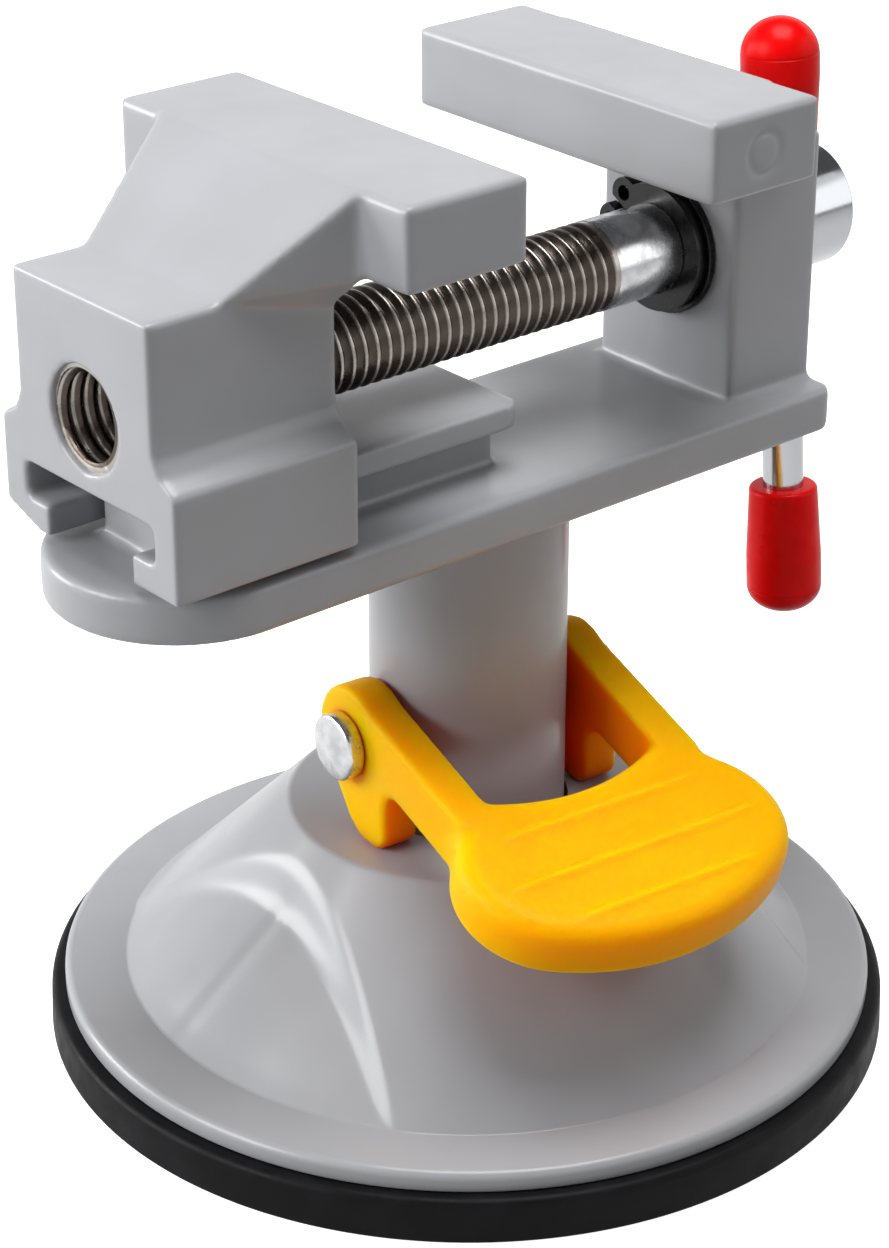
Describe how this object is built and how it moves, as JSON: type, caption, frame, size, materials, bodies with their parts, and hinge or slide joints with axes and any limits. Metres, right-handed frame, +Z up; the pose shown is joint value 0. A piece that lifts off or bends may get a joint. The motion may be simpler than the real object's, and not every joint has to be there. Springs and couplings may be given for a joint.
{
  "type": "suction base vise",
  "caption": "Small bench vise on a lever-locked suction foot: screw-driven moving jaw on a T-rail, fixed jaw on a post, tommy bar with capped ends.",
  "frame": {"origin": "on the bench at the centre of the suction cup, under the column's axis", "axes": "+Z up, +X along the screw from the moving jaw to the fixed jaw, -Y on the side of the lever's paddle"},
  "size_m": [0.0826, 0.0762, 0.0857],
  "materials": {
    "grey_paint": "gloss grey enamel on castings",
    "black_rubber": "smooth satin",
    "yellow_plastic": "moulded, soft gloss",
    "red_plastic": "moulded, gloss",
    "bright_chrome": "polished",
    "zinc_steel": "bright zinc",
    "black_steel": "black oxide, slightly oily"
  },
  "bodies": {
    "base": {"suction_cup": "black_rubber", "base_cover": "grey_paint", "return_spring": "zinc_steel"},
    "vise": {"cup_plate": "zinc_steel", "cup_stem": "zinc_steel", "column": "grey_paint", "column_washer": "zinc_steel", "column_screw": "black_steel", "pivot_pin": "zinc_steel", "pin_ring": "zinc_steel", "vise_bed": "grey_paint"},
    "lever": {"cam_lever": "yellow_plastic"},
    "jaw": {"moving_jaw": "grey_paint"},
    "screw": {"lead_screw": "zinc_steel", "circlip": "black_steel", "thrust_washer": "black_steel"},
    "bar": {"tommy_bar": "bright_chrome", "upper_cap": "red_plastic", "lower_cap": "red_plastic"}
  },
  "joints": [
    {"name": "column_lift", "type": "slide", "parent": "base", "child": "vise", "axis": [0, 0, 1], "range_m": [-0.0028, 0], "deforming": ["suction_cup", "return_spring"]},
    {"name": "lever_turn", "type": "hinge", "parent": "vise", "child": "lever", "pos_m": [0, 0, 0.03], "axis": [-0.9942, 0.108, 0], "range_deg": [0, 55]},
    {"name": "screw_turn", "type": "hinge", "parent": "vise", "child": "screw", "pos_m": [0, 0, 0.0679], "axis": [-1, 0, 0], "range_deg": [-1442, 5618]},
    {"name": "jaw_slide", "type": "slide", "parent": "vise", "child": "jaw", "axis": [1, 0, 0], "range_m": [-0.005, 0.0195]},
    {"name": "bar_slide", "type": "slide", "parent": "screw", "child": "bar", "axis": [0, 0.0767, 0.9971], "range_m": [0, 0.02]}
  ],
  "couplings": [
    {"joint": "lever_turn", "follows": "column_lift", "rad_per_m": -342.83},
    {"joint": "screw_turn", "follows": "jaw_slide", "rad_per_m": 5026.5}
  ]
}
